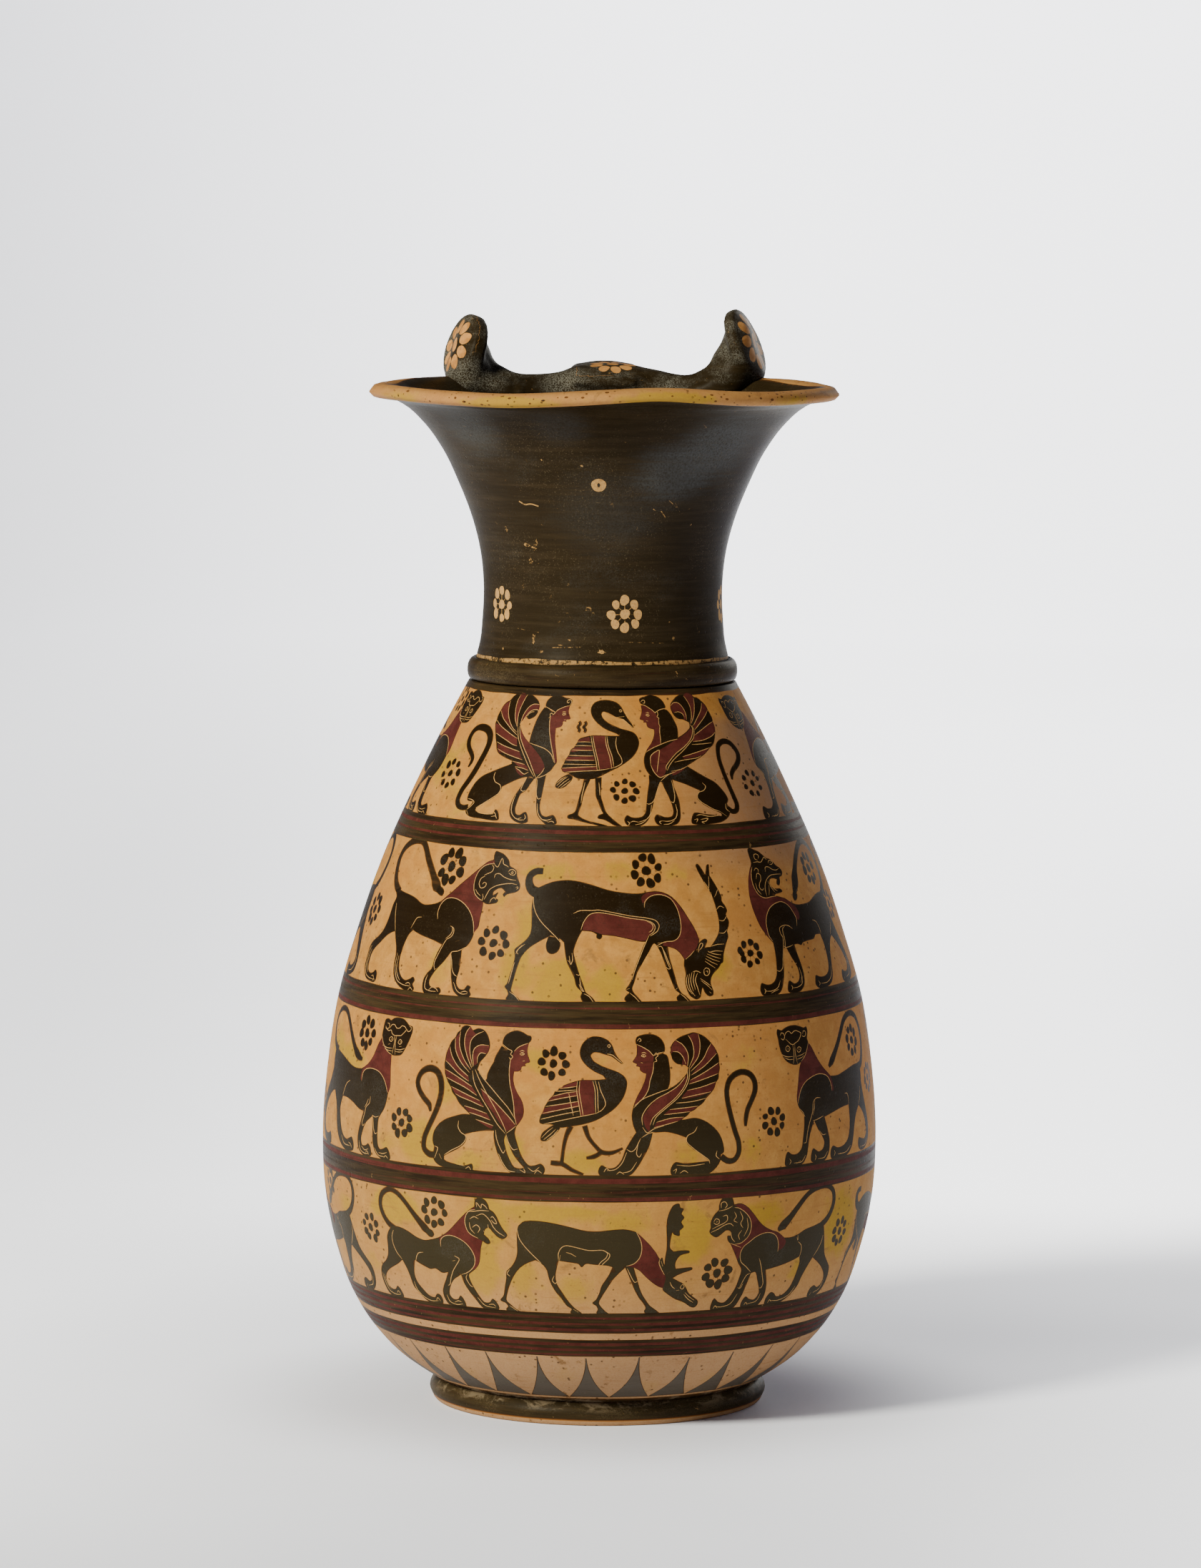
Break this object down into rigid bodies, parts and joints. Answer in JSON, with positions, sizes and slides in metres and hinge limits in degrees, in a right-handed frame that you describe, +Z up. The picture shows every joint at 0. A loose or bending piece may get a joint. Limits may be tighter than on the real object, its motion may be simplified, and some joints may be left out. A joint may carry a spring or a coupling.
{
  "type": "olpe",
  "caption": "Wheel-thrown ceramic pouring jug with an egg-shaped body, flaring mouth, strap handle with rotelles, and painted animal friezes.",
  "frame": {"origin": "on the jug's axis, in the plane of the foot's standing face", "axes": "+Z up along the axis of the thrown body, +Y towards the handle, -Y the pouring side, +X to the right seen from the pouring side"},
  "size_m": [0.166, 0.166, 0.3251],
  "materials": {
    "painted_clay": "fired light clay, burnished satin, with painted slip friezes",
    "black_slip": "fired brown-black slip, satin, worn at the edges"
  },
  "bodies": {
    "root": {"body": "painted_clay", "neck_and_mouth": "black_slip", "collar_ring": "black_slip", "foot_ring": "black_slip", "cross_bar": "black_slip", "rotelle_left": "black_slip", "rotelle_right": "black_slip", "strap_handle": "black_slip"}
  },
  "joints": []
}
